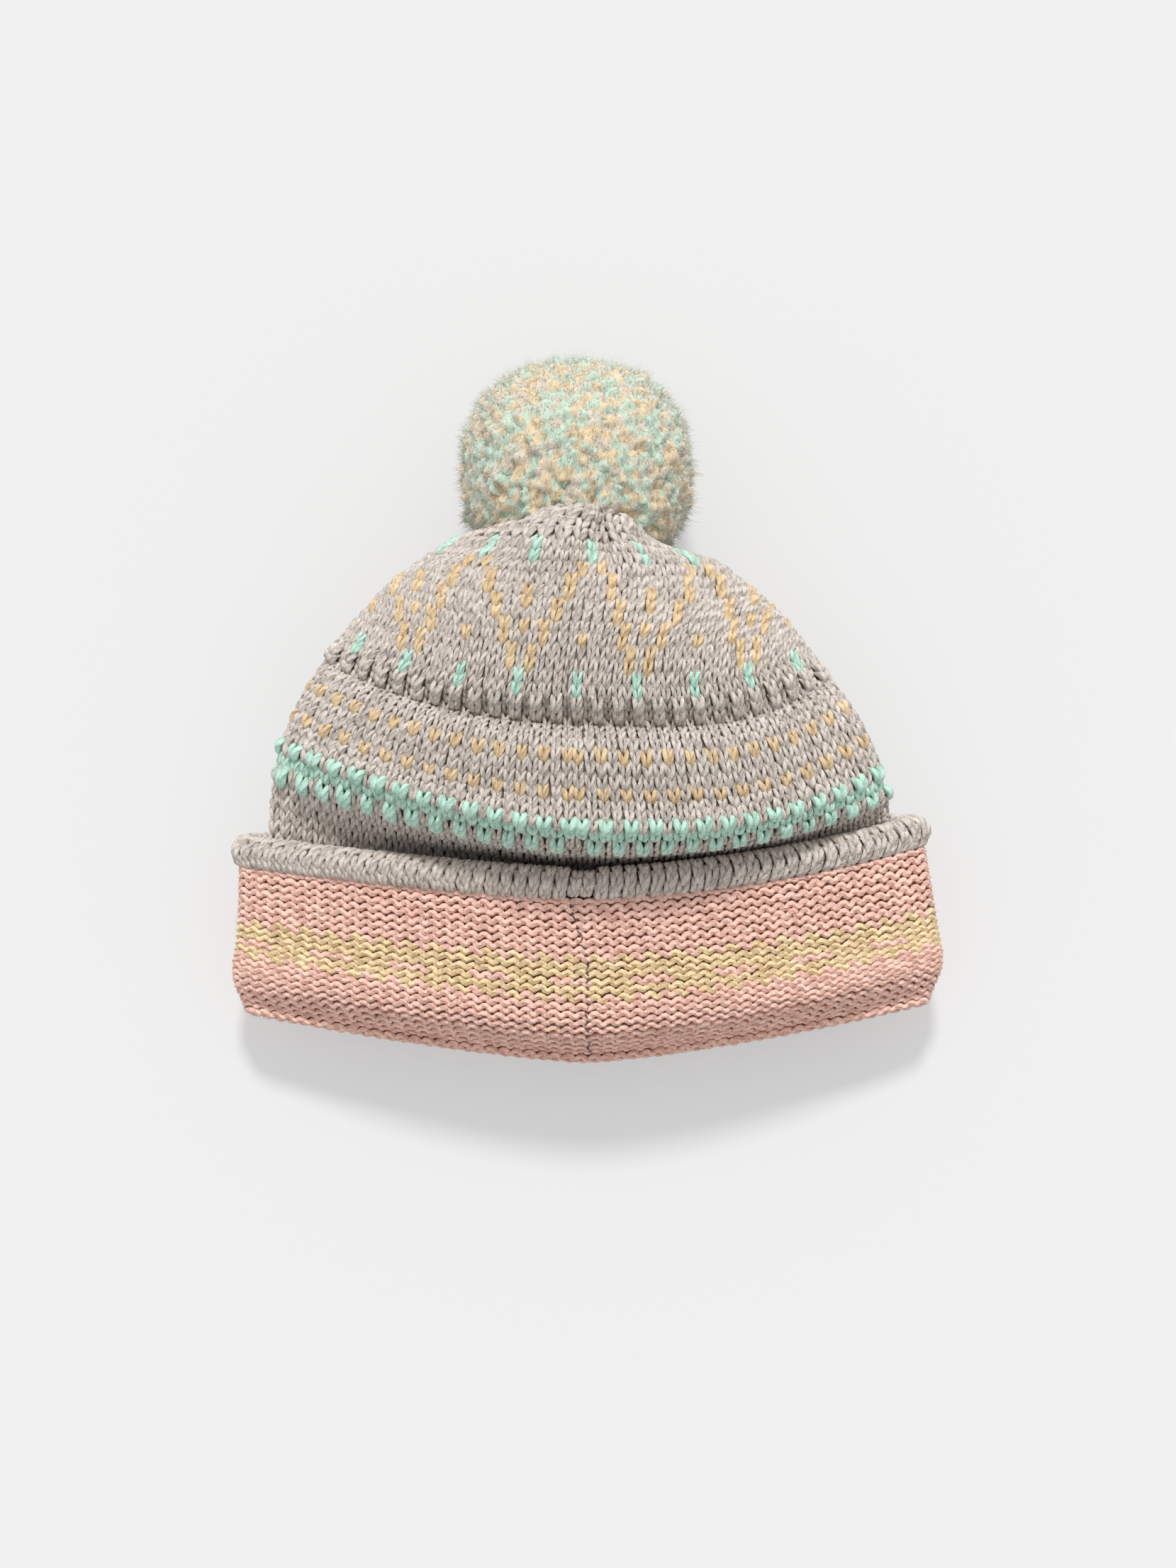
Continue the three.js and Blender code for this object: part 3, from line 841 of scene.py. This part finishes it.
def clear_of_crown(points, margin):
    """Moves points out of the crown: each is compared with the nearest point of the crown's
    upper part, and set out along its normal where it is nearer than the margin."""
    upper = slice((GUARD_COURSE - HEM) * PER_STITCH, None)
    guard_points = crown["points"][upper, ::PER_STITCH].reshape(-1, 3)
    guard_normals = crown["normals"][upper, ::PER_STITCH].reshape(-1, 3)
    moved = points.copy()
    for part in batches(len(points), 1500):
        apart = points[part][:, None, :] - guard_points[None]
        nearest = np.argmin(np.einsum("ijk,ijk->ij", apart, apart), axis=1)
        normal = guard_normals[nearest]
        height = np.einsum("ij,ij->i", points[part] - guard_points[nearest], normal)
        moved[part] += normal * np.maximum(0, margin - height)[:, None]
    return moved


def ball_directions(count):
    """Evenly spread directions, by turning a golden angle for each step down the ball."""
    k = np.arange(count) + 0.5
    polar = np.arccos(1 - 2 * k / count)
    turn = np.pi * (1 + 5**0.5) * k
    return np.stack([np.cos(turn) * np.sin(polar), np.sin(turn) * np.sin(polar), np.cos(polar)], axis=1)


HEADING_WOBBLE, CLIPPING_WOBBLE = 0.028, 0.7
end_heading = ball_directions(ENDS) + rng.normal(0, HEADING_WOBBLE, (ENDS, 3))
end_heading /= np.linalg.norm(end_heading, axis=1, keepdims=True)
end_height = rng.normal(0, CLIPPING_WOBBLE, ENDS)
end_yarn = rng.choice(3, ENDS, p=list(END_SHARES.values()))
print("yarn ends by dye:", np.bincount(end_yarn).tolist())

# %% The ball's surface
BUMP_WIDTH, BUMP_HEIGHT = 0.047, 0.85
SKIN_CLEARANCE, SKIN_LOWEST = 1.3, 0.6


def squared(direction):
    """A slightly squared ball: each direction is divided by the root of the sum of its parts'
    powers, with a power of 2.2 towards the crown and 2.38 on the far side."""
    power = 2.2 + 0.18 * smooth_step(-0.6, 0.4, direction[..., 1:2])
    size = np.sum(np.abs(direction) ** power, axis=-1, keepdims=True) ** (1 / power)
    return direction / size


def pompom_surface(heading):
    """Points of the clipped ball and the yarn end each belongs to. An end lifts the skin in a
    round bump: a parabola of the angle between the direction and the end's own."""
    points = np.empty((len(heading), 3))
    owner = np.empty(len(heading), dtype=int)
    for part in batches(len(heading), 2000):
        facing = heading[part] @ end_heading.T
        owner[part] = np.argmax(facing, axis=1)
        angle = np.arccos(np.clip(facing.max(axis=1), -1, 1))
        lift = BUMP_HEIGHT * (1 - (angle / BUMP_WIDTH) ** 2) + end_height[owner[part]]
        ball = squared(heading[part]) * POMPOM_RADII
        points[part] = POMPOM_MIDDLE + ball * (1 + lift / POMPOM_RADIUS)[:, None]
    points = clear_of_crown(points, SKIN_CLEARANCE)
    points[:, 2] = np.maximum(points[:, 2], SKIN_LOWEST)
    return points, owner


def dyes(yarn):
    """The two attributes that tell the pompom's material which dye a point has."""
    return {"mint": (yarn == MINT) * 1.0, "gold": (yarn == GOLD) * 1.0}


left_and_right, _ = pompom_surface(np.array([[-1.0, 0, 0], [1.0, 0, 0]]))
print("pompom, mm across:", round(float(np.diff(left_and_right[:, 0])[0]), 1))

# %% The skin
# Its poles lie along Y, one at the far end and one behind the crown, where they don't show.
SKIN_AROUND, SKIN_LOOPS = 270, 144
skin_turn = np.linspace(0, 2 * np.pi, SKIN_AROUND, endpoint=False)
skin_polar = np.linspace(0, np.pi, SKIN_LOOPS + 2)[1:-1]
skin_heading = np.stack([
    np.cos(skin_turn)[None, :] * np.sin(skin_polar)[:, None],
    np.broadcast_to(-np.cos(skin_polar)[:, None], (SKIN_LOOPS, SKIN_AROUND)),
    np.sin(skin_turn)[None, :] * np.sin(skin_polar)[:, None]], axis=-1)[::-1]
skin_points, skin_owner = pompom_surface(skin_heading.reshape(-1, 3))
skin_loops = skin_points.reshape(skin_heading.shape)
skin_yarn = end_yarn[np.append(skin_owner, skin_owner[[0, -1]])]
wall_mesh("pompom_skin", skin_loops, skin_loops[0].mean(axis=0), skin_loops[-1].mean(axis=0),
          **dyes(skin_yarn))

# %% One loose fibre


def spikes(name, roots, tips, radius, **attributes):
    """Fibres: each is a long thin pyramid on a triangle, closed at its foot."""
    count = len(roots)
    along = tips - roots
    along /= np.linalg.norm(along, axis=1, keepdims=True)
    side = np.cross(along, rng.normal(0, 1, (count, 3)))
    side /= np.linalg.norm(side, axis=1, keepdims=True)
    other = np.cross(along, side)
    turn = 2 * np.pi * np.arange(3) / 3
    foot = np.cos(turn)[None, :, None] * side[:, None] + np.sin(turn)[None, :, None] * other[:, None]
    foot = roots[:, None] + foot * np.broadcast_to(radius, count)[:, None, None]
    points = np.concatenate([foot, tips[:, None]], axis=1).reshape(-1, 3)
    index = np.arange(count * 4).reshape(count, 4)
    corners = ([2, 1, 0], [0, 1, 3], [1, 2, 3], [2, 0, 3])
    faces = np.concatenate([index[:, face] for face in corners])
    shade = np.repeat(rng.uniform(0, 1, count), 4)
    values = {key: np.repeat(value, 4) for key, value in attributes.items()}
    piece = make_mesh(name, points, [faces], np.zeros((faces.size, 2)), shade=shade, **values)
    print(f"{name}: {count} fibres, {len(faces)} triangles")
    return piece


# %% The haze of loose fibres
FIBRES = 40000
FIBRE_SHORT, FIBRE_LONG = 0.8, 2.3
FIBRE_THIN, FIBRE_THICK = 0.07, 0.14
FIBRE_CLEARANCE, FIBRE_LOWEST = 2.0, 0.4
ROOT_DEPTH = 0.4
OUTWARD, STRAY = 0.7, 0.75
STRAY_DYE = 0.35
fibre_heading = rng.normal(0, 1, (FIBRES, 3))
fibre_heading /= np.linalg.norm(fibre_heading, axis=1, keepdims=True)
fibre_foot, fibre_owner = pompom_surface(fibre_heading)
loose = fibre_heading * OUTWARD + rng.normal(0, STRAY, (FIBRES, 3))
fibre_tip = fibre_foot + loose * rng.uniform(FIBRE_SHORT, FIBRE_LONG, (FIBRES, 1))
fibre_tip = clear_of_crown(fibre_tip, FIBRE_CLEARANCE)
fibre_tip[:, 2] = np.maximum(fibre_tip[:, 2], FIBRE_LOWEST)
stray = rng.uniform(size=FIBRES) < STRAY_DYE
fibre_yarn = np.where(stray, rng.choice(3, FIBRES), end_yarn[fibre_owner])
fibre_radius = rng.uniform(FIBRE_THIN, FIBRE_THICK, FIBRES)
spikes("pompom_fluff", fibre_foot - fibre_heading * ROOT_DEPTH, fibre_tip, fibre_radius, **dyes(fibre_yarn))

# %% [markdown]
# ## Materials
#
# Every yarn is matt and hairy, and made of plies wound round each other. Plies could be tubes
# of their own, at three times the cost, so they are drawn. One group winds them from the
# strand's UV map and paints shade into the grooves between them, and another mottles the dye
# from noise and the strand's own shade and adds that painted groove shade. They feed the base
# colour and the bump; the shader itself stays in each material.

# %% Helpers for nodes


def feed(tree, socket, value):
    """Gives an input a link from another node, or a plain value."""
    if isinstance(value, bpy.types.NodeSocket):
        tree.links.new(value, socket)
    else:
        socket.default_value = value


def group_of(name, inputs, outputs):
    """A shader group with named value or vector sockets, and the nodes at its two ends."""
    tree = bpy.data.node_groups.new(name, "ShaderNodeTree")
    for label, kind, default in inputs:
        socket = tree.interface.new_socket(label, in_out="INPUT", socket_type=kind)
        if default is not None:
            socket.default_value = default
    for label, kind in outputs:
        tree.interface.new_socket(label, in_out="OUTPUT", socket_type=kind)
    start = tree.nodes.new("NodeGroupInput")
    end = tree.nodes.new("NodeGroupOutput")
    return tree, start, end


def math(tree, operation, *values):
    """A Math node whose inputs are sockets or numbers."""
    node = tree.nodes.new("ShaderNodeMath")
    node.operation = operation
    for socket, value in zip(node.inputs, values):
        feed(tree, socket, value)
    return node.outputs[0]


def noise(tree, vector, scale, detail):
    """Cloudy values between 0 and 1; a higher scale makes smaller clouds."""
    node = tree.nodes.new("ShaderNodeTexNoise")
    for label, value in (("Vector", vector), ("Scale", scale), ("Detail", detail), ("Roughness", 0.6)):
        feed(tree, node.inputs[label], value)
    return node.outputs[0]


def attribute(tree, name):
    """The value of one of the mesh's attributes."""
    node = tree.nodes.new("ShaderNodeAttribute")
    node.attribute_name = name
    return node.outputs["Fac"]


def ramp(tree, value, first, last, *between):
    """Colours by a value. Each stop is a place from 0 to 1 and a colour."""
    node = tree.nodes.new("ShaderNodeValToRGB")
    stops = node.color_ramp.elements
    for stop, (place, colour) in zip(stops, (first, last)):
        stop.position = place
        stop.color = colour
    for place, colour in between:
        stops.new(place).color = colour
    feed(tree, node.inputs[0], value)
    return node.outputs[0]


def mixed(tree, share, base, colour, blend="MIX"):
    """A share of a colour laid over another, or multiplied with it. The node keeps a pair of
    inputs for each data type; for colours they are the seventh and the eighth."""
    node = tree.nodes.new("ShaderNodeMix")
    node.data_type = "RGBA"
    node.blend_type = blend
    for socket, value in ((0, share), (6, base), (7, colour)):
        feed(tree, node.inputs[socket], value)
    return node.outputs[2]


def srgb(*values):
    """Linear colour from the familiar 0 to 255 values."""
    v = np.array(values) / 255
    return (*np.where(v <= 0.04045, v / 12.92, ((v + 0.055) / 1.055) ** 2.4), 1.0)


print("linear value of a middle grey:", round(float(srgb(128)[0]), 3))

# %% Two effects that all yarns share


def make_twist_group():
    """Plies wound round the yarn: a sine of the way along plus the way round. The streaks are
    noise drawn out along the plies, with painted shade in the grooves between them."""
    tree, start, end = group_of(
        "Yarn twist",
        [("UV", "NodeSocketVector", None), ("Plies", "NodeSocketFloat", 3.0),
         ("Turns", "NodeSocketFloat", 0.16)],
        [("Height", "NodeSocketFloat"), ("Streaks", "NodeSocketFloat")])
    split = tree.nodes.new("ShaderNodeSeparateXYZ")
    tree.links.new(start.outputs["UV"], split.inputs[0])
    along = math(tree, "MULTIPLY", split.outputs[0], start.outputs["Turns"])
    phase = math(tree, "ADD", along, split.outputs[1])
    plies = math(tree, "MULTIPLY", phase, start.outputs["Plies"])
    height = math(tree, "ABSOLUTE", math(tree, "SINE", math(tree, "MULTIPLY", plies, np.pi)))
    join = tree.nodes.new("ShaderNodeCombineXYZ")
    tree.links.new(math(tree, "MULTIPLY", split.outputs[0], 0.55), join.inputs[0])
    tree.links.new(math(tree, "MULTIPLY", phase, 7.0), join.inputs[1])
    streaks = noise(tree, join.outputs[0], 2.2, 3.0)
    tree.links.new(math(tree, "ADD", height, math(tree, "MULTIPLY", streaks, 0.8)), end.inputs["Height"])
    # Painted shade: this groove mask dims the colour between the plies, where real yarn lies in shade.
    groove = math(tree, "POWER", math(tree, "SUBTRACT", 1.0, height), 2.0)
    painted_groove_shade = math(tree, "MULTIPLY", groove, 0.55)
    tree.links.new(math(tree, "SUBTRACT", streaks, painted_groove_shade), end.inputs["Streaks"])
    return tree


def make_heather_and_groove_shade_group():
    """Mottled dyeing with painted shade: a weighted sum of coarse and fine noise over the object,
    the strand's own shade and its streaks, which carry the painted shade of the ply grooves,
    less its usual value, so that 0.5 is the yarn's middle tone."""
    tree, start, end = group_of(
        "Heather and groove shade",
        [("Place", "NodeSocketVector", None), ("Shade", "NodeSocketFloat", 0.5),
         ("Streaks", "NodeSocketFloat", 0.5), ("Contrast", "NodeSocketFloat", 1.0)],
        [("Tone", "NodeSocketFloat")])
    coarse = noise(tree, start.outputs["Place"], 200.0, 2.0)
    fine = noise(tree, start.outputs["Place"], 2100.0, 3.0)
    mottle = math(tree, "ADD", math(tree, "MULTIPLY", coarse, 0.6), fine)
    mottle = math(tree, "ADD", mottle, math(tree, "MULTIPLY", start.outputs["Shade"], 0.10))
    # The streaks bring the painted shade of the grooves between plies into the tone.
    mottle = math(tree, "ADD", mottle, math(tree, "MULTIPLY", start.outputs["Streaks"], 0.65))
    centred = math(tree, "SUBTRACT", mottle, 1.11)
    tone = math(tree, "ADD", math(tree, "MULTIPLY", centred, start.outputs["Contrast"]), 0.5)
    node = tree.nodes.new("ShaderNodeClamp")
    tree.links.new(tone, node.inputs[0])
    tree.links.new(node.outputs[0], end.inputs["Tone"])
    return tree


TWIST = make_twist_group()
HEATHER_AND_GROOVE_SHADE = make_heather_and_groove_shade_group()
print("groups:", [group.name for group in bpy.data.node_groups])

# %% Yarn material


def matt_material(name, roughness, specular, sheen, sheen_roughness):
    """A new material whose shader is matt, with the pale edge that loose hairs give."""
    material = bpy.data.materials.new(name)
    material.use_nodes = True
    shader = material.node_tree.nodes["Principled BSDF"]
    shader.inputs["Roughness"].default_value = roughness
    shader.inputs["Specular IOR Level"].default_value = specular
    shader.inputs["Sheen Weight"].default_value = sheen
    shader.inputs["Sheen Roughness"].default_value = sheen_roughness
    return material, material.node_tree, shader


def relief(tree, shader, height, strength, distance):
    """Lets a height bend the light on a surface, through a Bump node."""
    bump = tree.nodes.new("ShaderNodeBump")
    bump.inputs["Strength"].default_value = strength
    bump.inputs["Distance"].default_value = distance
    tree.links.new(height, bump.inputs["Height"])
    tree.links.new(bump.outputs[0], shader.inputs["Normal"])


def yarn_material(name, dark, medium, light, contrast=1.3, bump=0.75):
    """A dyed yarn: three tones by mottling and painted shade in the ply grooves, plies and fibres in
    relief.
    """
    material, tree, shader = matt_material(name, 0.95, 0.15, 0.25, 0.6)
    place = tree.nodes.new("ShaderNodeTexCoord")
    twist = tree.nodes.new("ShaderNodeGroup")
    twist.node_tree = TWIST
    twist.inputs["Turns"].default_value = 0.085
    tree.links.new(place.outputs["UV"], twist.inputs["UV"])
    heather_and_groove_shade = tree.nodes.new("ShaderNodeGroup")
    heather_and_groove_shade.node_tree = HEATHER_AND_GROOVE_SHADE
    heather_and_groove_shade.inputs["Contrast"].default_value = contrast
    tree.links.new(place.outputs["Object"], heather_and_groove_shade.inputs["Place"])
    tree.links.new(attribute(tree, "shade"), heather_and_groove_shade.inputs["Shade"])
    tree.links.new(twist.outputs["Streaks"], heather_and_groove_shade.inputs["Streaks"])
    colour = ramp(tree, heather_and_groove_shade.outputs["Tone"], (0, dark), (1, light), (0.5, medium))
    tree.links.new(colour, shader.inputs["Base Color"])
    relief(tree, shader, twist.outputs["Height"], bump, 0.0005)
    return material


taupe = yarn_material("taupe yarn", srgb(142, 130, 121), srgb(203, 192, 182), srgb(241, 232, 224), 1.2)
mint = yarn_material("mint yarn", srgb(130, 178, 157), srgb(184, 222, 204), srgb(216, 241, 230), 1.1)
gold = yarn_material("gold yarn", srgb(172, 138, 95), srgb(219, 190, 147), srgb(242, 224, 191), 1.1)
pink = yarn_material("pink yarn", srgb(196, 143, 125), srgb(238, 192, 175), srgb(252, 220, 206), 1.1, 0.7)
cuff_gold_yarn = yarn_material(
    "stripe gold yarn", srgb(180, 146, 100), srgb(232, 204, 158), srgb(248, 232, 196), 1.1, 0.7)
# The three ground yarns are deeper tones of the stitches' own yarns: painted shade for the gaps between the
# legs and for the inside of the hat.
taupe_ground_in_painted_shade = yarn_material("taupe ground in painted shade", srgb(92, 84, 78), srgb(128, 118, 110), srgb(162, 152, 143))
pink_ground_in_painted_shade = yarn_material("pink ground in painted shade", srgb(136, 92, 78), srgb(172, 124, 108), srgb(200, 154, 138))
crown_ground_in_painted_shade = yarn_material(
    "crown ground in painted shade", srgb(106, 97, 90), srgb(140, 130, 121), srgb(170, 160, 150))
seam_thread = yarn_material("seam thread", srgb(70, 54, 48), srgb(98, 78, 70), srgb(126, 104, 94))
print("yarns:", [yarn.name for yarn in (taupe, mint, gold, pink, cuff_gold_yarn, seam_thread)])

# %% Pompom material
# The skin and the fibres share one material. Two attributes say which dye a point has.


def pompom_material():
    """Three dyes over a mottle that goes from a shadowed to a sunlit tone, darkened by a fine
    noise and by the lower half of the shade."""
    material, tree, shader = matt_material("pompom yarn", 1.0, 0.1, 0.7, 0.7)
    place = tree.nodes.new("ShaderNodeTexCoord")
    coarse = noise(tree, place.outputs["Object"], 420.0, 3.0)
    fine = noise(tree, place.outputs["Object"], 2600.0, 2.0)
    colour = ramp(tree, coarse, (0.3, srgb(202, 188, 170)), (0.7, srgb(246, 238, 224)))
    colour = mixed(tree, attribute(tree, "mint"), colour, srgb(206, 232, 215))
    colour = mixed(tree, attribute(tree, "gold"), colour, srgb(239, 218, 178))
    colour = mixed(tree, fine, colour, srgb(232, 227, 217), "MULTIPLY")
    tones = ramp(tree, attribute(tree, "shade"), (0, (0.78, 0.76, 0.72, 1)), (0.5, (1, 1, 1, 1)))
    colour = mixed(tree, 1.0, colour, tones, "MULTIPLY")
    tree.links.new(colour, shader.inputs["Base Color"])
    relief(tree, shader, fine, 0.5, 0.0006)
    return material


pompom_yarn = pompom_material()
print("made", pompom_yarn.name, "with", len(pompom_yarn.node_tree.nodes), "nodes")

# %% Give each piece its yarn and its body, and hide the construction node it stands for
LOOKS = [
    (["crown_taupe_back", "crown_taupe_front", "crown_tip"], taupe, "knit_taupe", "crown"),
    (["crown_mint"], mint, "knit_taupe", "crown"),
    (["crown_gold"], gold, "knit_taupe", "crown"),
    (["crown_ground"], crown_ground_in_painted_shade, "knit_taupe", "crown"),
    (["cuff_pink_back", "cuff_pink_front"], pink, "knit_pink", "cuff"),
    (["cuff_gold"], cuff_gold_yarn, "knit_pink", "cuff"),
    (["cuff_ground"], pink_ground_in_painted_shade, "knit_pink", "cuff"),
    (["cuff_seam"], seam_thread, "knit_pink", "cuff"),
    (["roll_stitches"], taupe, "knit_taupe", "cuff_roll"),
    (["roll_ground"], taupe_ground_in_painted_shade, "knit_taupe", "cuff_roll"),
    (["pompom_skin", "pompom_fluff"], pompom_yarn, "pompom_yarn", "pompom"),
]
for names, material, slot, node in LOOKS:
    for name in names:
        piece = bpy.data.objects[name]
        piece.data.materials.append(material)
        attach(piece, "root")
        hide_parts(node)
        print(f"{name}: {material.name}, for the node {node}")

# %% [markdown]
# ## Studio
#
# A wide pale table, an even sky of soft light, and one low key light from beyond the pompom
# that throws the short shadow below the hem. An area lamp would fall off over the hat, so the
# key light is a sun with a wide disc, which softens its shadow. The camera looks straight down.

# %% Table
scene = bpy.context.scene
scene.view_settings.view_transform = "Standard"
floor_mesh = bpy.data.meshes.new("floor")
floor_mesh.from_pydata([(-3, -3, 0), (3, -3, 0), (3, 3, 0), (-3, 3, 0)], [], [(0, 1, 2, 3)])
floor = bpy.data.objects.new("floor", floor_mesh)
scene.collection.objects.link(floor)
paper, _, paper_shader = matt_material("pale paper", 1.0, 0.0, 0.0, 0.5)
paper_shader.inputs["Base Color"].default_value = (0.40, 0.40, 0.40, 1)
paper_shader.inputs["Emission Color"].default_value = (1, 1, 1, 1)
paper_shader.inputs["Emission Strength"].default_value = 0.385
floor_mesh.materials.append(paper)
print("table:", floor.dimensions.to_tuple(1), "metres")

# %% Sky and key light
SKY_STRENGTH, KEY_STRENGTH = 0.68, 2.5
KEY_DISC, KEY_TILT = 9, 46
world = bpy.data.worlds.new("soft sky")
scene.world = world
world.use_nodes = True
sky = world.node_tree.nodes["Background"]
sky.inputs["Color"].default_value = (1, 1, 1, 1)
sky.inputs["Strength"].default_value = SKY_STRENGTH
sun_data = bpy.data.lights.new("key light", "SUN")
sun_data.energy = KEY_STRENGTH
sun_data.angle = np.radians(KEY_DISC)
sun = bpy.data.objects.new("key light", sun_data)
sun.rotation_euler = (np.radians(-KEY_TILT), 0, 0)
scene.collection.objects.link(sun)
print("key light tilted by", KEY_TILT, "degrees, sky strength", SKY_STRENGTH)

# %% Camera
CAMERA_PLACE = (0.00055, -0.02411, 1.0)
camera_data = bpy.data.cameras.new("camera")
camera_data.sensor_fit = "VERTICAL"
camera_data.sensor_height = 36
camera_data.lens = 66.5
camera = bpy.data.objects.new("camera", camera_data)
camera.location = CAMERA_PLACE
scene.collection.objects.link(camera)
scene.camera = camera
print("camera", CAMERA_PLACE[2], "m above the table, looking straight down")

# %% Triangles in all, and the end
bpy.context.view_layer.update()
pieces = [bpy.data.objects[name] for row in LOOKS for name in row[0]]
total = sum(len(face.vertices) - 2 for piece in pieces for face in piece.data.polygons)
print("triangles in all:", total)
